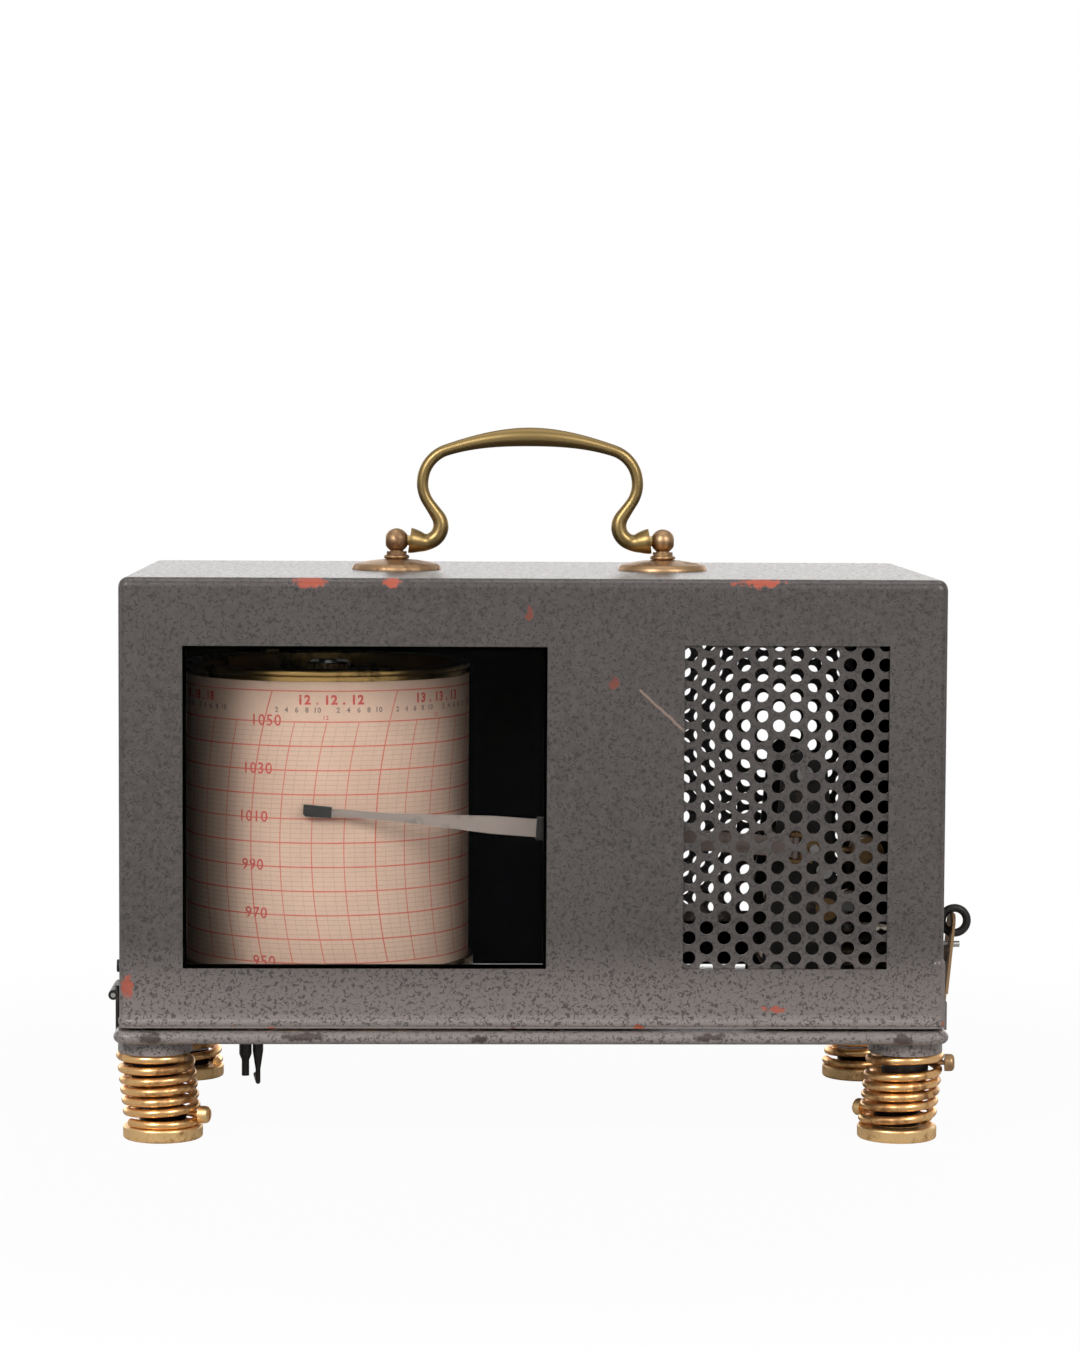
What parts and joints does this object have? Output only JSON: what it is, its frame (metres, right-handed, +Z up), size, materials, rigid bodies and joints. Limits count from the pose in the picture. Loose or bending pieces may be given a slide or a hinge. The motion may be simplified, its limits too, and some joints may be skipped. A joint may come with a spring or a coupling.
{
  "type": "drum recording barograph",
  "caption": "Weather recorder: a clock drum, a long pen arm and an aneroid works under a hinged hood with a window, grilles and a swan-neck handle, on spring feet.",
  "frame": {"origin": "on the floor, under the middle of the whole instrument's box", "axes": "+Z up, +X to the right as seen from the pen side, +Y to the back, so the window faces -Y"},
  "size_m": [0.2748, 0.141, 0.2247],
  "materials": {
    "hammered_paint": "warm grey hammered enamel, chipped and worn",
    "works_paint": "dark satin enamel",
    "bright_brass": "polished brass with wear",
    "aged_brass": "brown aged brass",
    "spring_brass": "coppery spring wire",
    "foot_brass": "turned brass, dull",
    "bright_steel": "turned steel",
    "dark_steel": "blackened steel",
    "capsule_alloy": "corrugated capsule sheet",
    "pen_alloy": "thin dull strip",
    "window_glass": "clear flat pane",
    "chart_paper": "printed paper chart, matt"
  },
  "bodies": {
    "base": {"base_plate": "hammered_paint", "foot_bosses": "hammered_paint", "foot_top_screws": "aged_brass", "foot_spring_fl": "spring_brass", "foot_spring_fr": "spring_brass", "foot_spring_rl": "spring_brass", "foot_spring_rr": "spring_brass", "hinge_base_leaves": "dark_steel", "hinge_pins": "bright_steel", "latch_bracket": "hammered_paint", "front_upright": "works_paint", "rear_upright": "works_paint", "frame_pillars": "aged_brass", "frame_screws": "bright_steel", "bearing_bushes": "bright_brass", "drum_spindle": "bright_steel", "fixed_gear": "bright_brass", "drum_nut": "bright_brass", "capsule_post": "bright_steel", "capsule_stack": "capsule_alloy", "lifter_stop": "works_paint"},
    "foot_fl": {"foot_disc_fl": "foot_brass"},
    "foot_fr": {"foot_disc_fr": "foot_brass"},
    "foot_rl": {"foot_disc_rl": "foot_brass"},
    "foot_rr": {"foot_disc_rr": "foot_brass"},
    "hood": {"hood_shell": "hammered_paint", "window_glass": "window_glass", "window_frame": "dark_steel", "front_grille": "hammered_paint", "rear_grille": "hammered_paint", "handle_rosettes": "aged_brass", "handle_posts": "aged_brass", "post_nuts": "bright_steel", "hinge_hood_leaves": "dark_steel", "hinge_screws": "dark_steel", "latch_stud": "bright_steel"},
    "bail": {"handle_bail": "bright_brass", "bail_pins": "bright_brass"},
    "latch": {"latch_strap": "aged_brass", "latch_ring": "dark_steel"},
    "drum": {"drum_shell": "bright_brass", "drum_rim": "bright_brass", "chart_paper": "chart_paper", "chart_clip": "bright_brass", "clock_case": "bright_brass"},
    "pinion": {"clock_pinion": "bright_steel"},
    "key": {"winding_key": "bright_steel"},
    "pen": {"pen_arbor": "bright_steel", "link_crank": "bright_brass", "pen_yoke": "bright_brass", "counterweight": "aged_brass"},
    "pen_gate": {"pen_carrier": "pen_alloy", "pen_clip": "dark_steel", "pen_strip": "pen_alloy", "pen_nib": "aged_brass"},
    "link": {"link_rod": "bright_steel"},
    "lever": {"main_lever": "bright_brass"},
    "capsule_top": {"capsule_stud": "bright_steel"},
    "setting": {"setting_nut": "bright_brass"},
    "lifter": {"pen_lifter": "dark_steel"}
  },
  "joints": [
    {"name": "foot_fl_spring", "type": "slide", "parent": "base", "child": "foot_fl", "axis": [0, 0, 1], "range_m": [0, 0.003], "stiffness_N_per_m": 5000, "springref_m": -0.0021, "deforming": ["foot_spring_fl"]},
    {"name": "foot_fr_spring", "type": "slide", "parent": "base", "child": "foot_fr", "axis": [0, 0, 1], "range_m": [0, 0.003], "stiffness_N_per_m": 5000, "springref_m": -0.0021, "deforming": ["foot_spring_fr"]},
    {"name": "foot_rl_spring", "type": "slide", "parent": "base", "child": "foot_rl", "axis": [0, 0, 1], "range_m": [0, 0.003], "stiffness_N_per_m": 5000, "springref_m": -0.0021, "deforming": ["foot_spring_rl"]},
    {"name": "foot_rr_spring", "type": "slide", "parent": "base", "child": "foot_rr", "axis": [0, 0, 1], "range_m": [0, 0.003], "stiffness_N_per_m": 5000, "springref_m": -0.0021, "deforming": ["foot_spring_rr"]},
    {"name": "hood_hinge", "type": "hinge", "parent": "base", "child": "hood", "pos_m": [-0.13582, 0, 0.0454], "axis": [0, -1, 0], "range_deg": [0, 100]},
    {"name": "bail_swing", "type": "hinge", "parent": "hood", "child": "bail", "pos_m": [-0.00372, 0, 0.1875], "axis": [1, 0, 0], "range_deg": [-80, 80]},
    {"name": "latch_swing", "type": "hinge", "parent": "base", "child": "latch", "pos_m": [0.12778, -0.0426, 0.042], "axis": [0, 1, 0], "range_deg": [0, 110]},
    {"name": "drum_turn", "type": "hinge", "parent": "base", "child": "drum", "pos_m": [-0.07002, 0, 0.1], "axis": [0, 0, 1], "continuous": true},
    {"name": "pinion_turn", "type": "hinge", "parent": "drum", "child": "pinion", "pos_m": [-0.04992, 0, 0.045], "axis": [0, 0, 1], "continuous": true},
    {"name": "key_turn", "type": "hinge", "parent": "drum", "child": "key", "pos_m": [-0.07002, 0.016, 0.1], "axis": [0, 0, 1], "continuous": true},
    {"name": "pen_swing", "type": "hinge", "parent": "base", "child": "pen", "pos_m": [0.08608, 0, 0.0915], "axis": [0, 1, 0], "range_deg": [-17.5, 10]},
    {"name": "gate_swing", "type": "hinge", "parent": "pen", "child": "pen_gate", "pos_m": [0.08029, -0.0491, 0.09192], "axis": [0.0732, 0, 0.9973], "range_deg": [-0.05, 4.4]},
    {"name": "link_pivot", "type": "hinge", "parent": "pen", "child": "link", "pos_m": [0.07608, -0.006, 0.0915], "axis": [0, 1, 0], "range_deg": [-10.5, 18]},
    {"name": "lever_rock", "type": "hinge", "parent": "base", "child": "lever", "pos_m": [0.09128, 0, 0.071], "axis": [0, 1, 0], "range_deg": [-11.7, 6.7]},
    {"name": "capsule_lift", "type": "slide", "parent": "base", "child": "capsule_top", "axis": [0, 0, 1], "range_m": [-0.0013, 0.0022], "deforming": ["capsule_stack"]},
    {"name": "setting_turn", "type": "hinge", "parent": "base", "child": "setting", "pos_m": [0.10128, -0.008, 0.038], "axis": [0, 0, 1], "continuous": true},
    {"name": "lifter_turn", "type": "hinge", "parent": "base", "child": "lifter", "pos_m": [-0.09102, -0.04, 0.034], "axis": [0, 0, 1], "range_deg": [-3.1, 0]}
  ],
  "couplings": [
    {"joint": "pinion_turn", "follows": "drum_turn", "ratio": 4},
    {"joint": "link_pivot", "follows": "pen_swing", "ratio": -1},
    {"joint": "lever_rock", "follows": "pen_swing", "ratio": 0.658},
    {"joint": "capsule_lift", "follows": "pen_swing", "m_per_rad": -0.00658},
    {"joint": "gate_swing", "follows": "lifter_turn", "ratio": -1.385}
  ]
}
